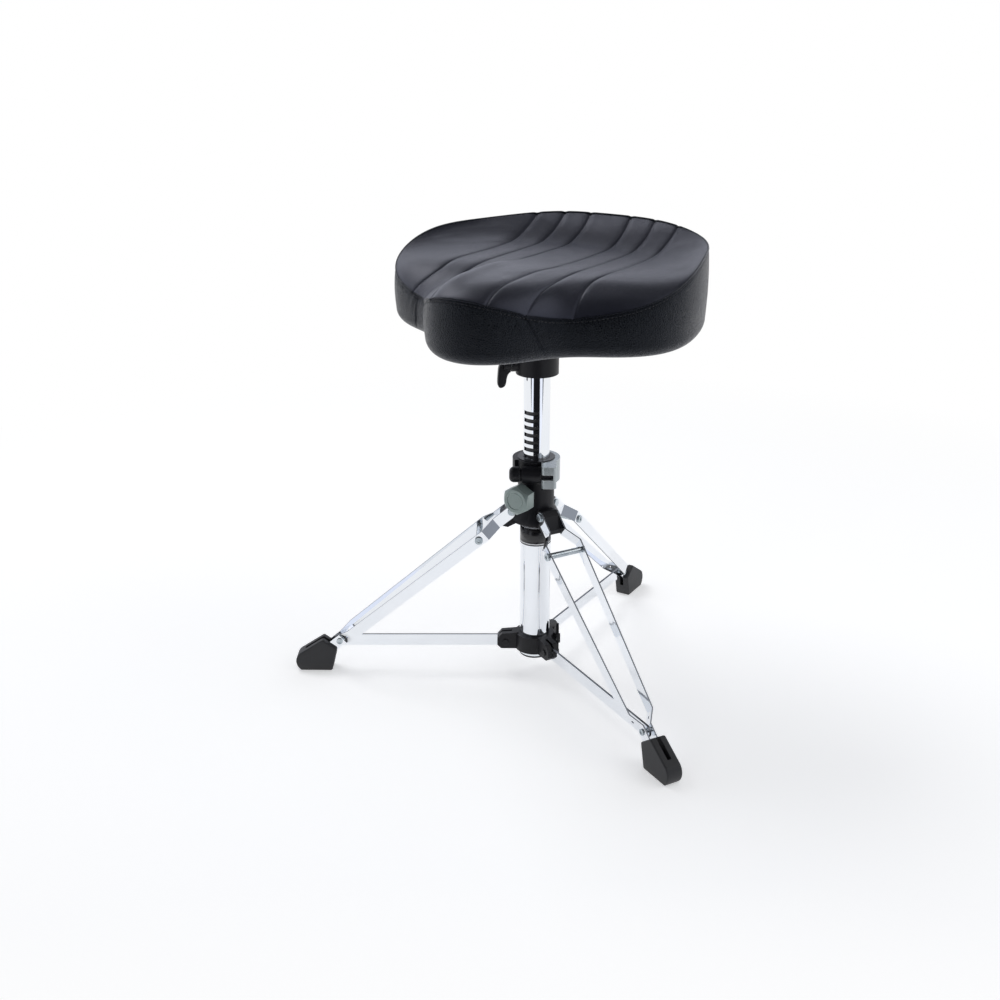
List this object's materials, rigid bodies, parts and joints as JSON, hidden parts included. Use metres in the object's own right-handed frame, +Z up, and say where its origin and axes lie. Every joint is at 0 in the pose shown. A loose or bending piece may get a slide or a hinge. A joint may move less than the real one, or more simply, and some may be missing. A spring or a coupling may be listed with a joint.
{
  "type": "drum throne",
  "caption": "Folding tripod drum throne with a chrome telescoping post, memory lock, hex height knob and black saddle seat.",
  "frame": {"origin": "on the floor plane, on the axis of the post and base tube", "axes": "+Z up along the post; -X along the left leg, the other legs at 60 and 300 degrees from +X; the seat's nose and the height knob point along 240 degrees from +X"},
  "size_m": [0.5316, 0.5698, 0.5885],
  "materials": {
    "chrome": "polished chrome plate",
    "black_casting": "satin black powder coat",
    "grey_green_casting": "satin grey-green paint",
    "grey_casting": "satin grey",
    "zinc_steel": "zinc plate",
    "black_nylon": "moulded",
    "black_rubber": "matt",
    "label": "plain black band",
    "leather_top": "smooth satin upholstery",
    "leather_side": "pebbled upholstery",
    "piping": "satin",
    "foam": "open cell foam",
    "plywood": "raw plywood",
    "dust_cloth": "woven"
  },
  "bodies": {
    "stand": {"base_tube": "chrome", "tube_end_plug": "black_nylon", "label_band": "label", "hub_casting": "black_casting", "post_bushing": "black_nylon", "leg_pins": "zinc_steel", "lock_liner": "black_nylon", "lock_body": "black_casting", "lock_hinge_pin": "zinc_steel"},
    "collar": {"collar_ring": "black_casting", "collar_pins": "black_casting"},
    "collar_bolt": {"collar_bolt_shank": "zinc_steel", "collar_bolt_wing": "black_casting"},
    "post": {"post_tube": "chrome", "post_rack": "black_nylon", "post_end_guide": "black_nylon"},
    "height_knob": {"height_knob": "grey_green_casting", "height_knob_bolt": "zinc_steel"},
    "lock_clamp": {"lock_clamp": "grey_casting"},
    "lock_bolt": {"lock_bolt": "zinc_steel", "lock_knob": "black_casting"},
    "seat": {"seat_bracket": "black_casting", "seat_flange": "black_casting", "seat_screws": "zinc_steel", "seat_board": "plywood", "seat_foam": "foam", "seat_dust_cloth": "dust_cloth", "seat_side_band": "leather_side", "seat_welt": "piping", "seat_top_cover": "leather_top"},
    "seat_lever": {"seat_lever_bolt": "zinc_steel", "seat_lever_wing": "black_casting"},
    "leg_left": {"leg_left_strips": "chrome", "leg_left_spacer": "zinc_steel", "leg_left_rivets": "zinc_steel", "leg_left_foot": "black_rubber"},
    "strut_left": {"strut_left": "chrome"},
    "leg_near": {"leg_near_strips": "chrome", "leg_near_spacer": "zinc_steel", "leg_near_rivets": "zinc_steel", "leg_near_foot": "black_rubber"},
    "strut_near": {"strut_near": "chrome"},
    "leg_far": {"leg_far_strips": "chrome", "leg_far_spacer": "zinc_steel", "leg_far_rivets": "zinc_steel", "leg_far_foot": "black_rubber"},
    "strut_far": {"strut_far": "chrome"}
  },
  "joints": [
    {"name": "leg_left_fold", "type": "hinge", "parent": "stand", "child": "leg_left", "pos_m": [-0.031, 0, 0.2354], "axis": [0, -1, 0], "range_deg": [0, 46.3]},
    {"name": "leg_near_fold", "type": "hinge", "parent": "stand", "child": "leg_near", "pos_m": [0.0155, -0.02685, 0.2354], "axis": [0.866, 0.5, 0], "range_deg": [0, 46.3]},
    {"name": "leg_far_fold", "type": "hinge", "parent": "stand", "child": "leg_far", "pos_m": [0.0155, 0.02685, 0.2354], "axis": [-0.866, 0.5, 0], "range_deg": [0, 46.3]},
    {"name": "collar_slide", "type": "slide", "parent": "stand", "child": "collar", "axis": [0, 0, 1], "range_m": [0, 0.11362]},
    {"name": "strut_left_swing", "type": "hinge", "parent": "collar", "child": "strut_left", "pos_m": [-0.039, 0, 0.0445], "axis": [0, -1, 0], "range_deg": [0, 86.15]},
    {"name": "strut_near_swing", "type": "hinge", "parent": "collar", "child": "strut_near", "pos_m": [0.0195, -0.03377, 0.0445], "axis": [0.866, 0.5, 0], "range_deg": [0, 86.15]},
    {"name": "strut_far_swing", "type": "hinge", "parent": "collar", "child": "strut_far", "pos_m": [0.0195, 0.03377, 0.0445], "axis": [-0.866, 0.5, 0], "range_deg": [0, 86.15]},
    {"name": "collar_bolt_turn", "type": "hinge", "parent": "collar", "child": "collar_bolt", "pos_m": [0.03, 0, 0.047], "axis": [1, 0, 0], "continuous": true},
    {"name": "post_slide", "type": "slide", "parent": "stand", "child": "post", "axis": [0, 0, 1], "range_m": [-0.09, 0.06]},
    {"name": "height_knob_turn", "type": "hinge", "parent": "stand", "child": "height_knob", "pos_m": [-0.0225, -0.03897, 0.263], "axis": [-0.5, -0.866, 0], "continuous": true},
    {"name": "lock_clamp_open", "type": "hinge", "parent": "stand", "child": "lock_clamp", "pos_m": [0, 0.0315, 0.2925], "axis": [0, 0, 1], "range_deg": [0, 3]},
    {"name": "lock_bolt_turn", "type": "hinge", "parent": "stand", "child": "lock_bolt", "pos_m": [-0.028, -0.029, 0.293], "axis": [1, 0, 0], "continuous": true},
    {"name": "seat_swivel", "type": "hinge", "parent": "post", "child": "seat", "pos_m": [0, 0, 0.44], "axis": [0, 0, 1], "continuous": true},
    {"name": "seat_lever_turn", "type": "hinge", "parent": "seat", "child": "seat_lever", "pos_m": [-0.03348, -0.0059, 0.43], "axis": [-0.9848, -0.1736, 0], "continuous": true}
  ],
  "couplings": [
    {"joint": "leg_near_fold", "follows": "leg_left_fold", "ratio": 1},
    {"joint": "leg_far_fold", "follows": "leg_left_fold", "ratio": 1},
    {"joint": "collar_slide", "follows": "leg_left_fold", "m_per_rad": 0.1406},
    {"joint": "strut_left_swing", "follows": "leg_left_fold", "ratio": 1.8607},
    {"joint": "strut_near_swing", "follows": "leg_left_fold", "ratio": 1.8607},
    {"joint": "strut_far_swing", "follows": "leg_left_fold", "ratio": 1.8607}
  ]
}
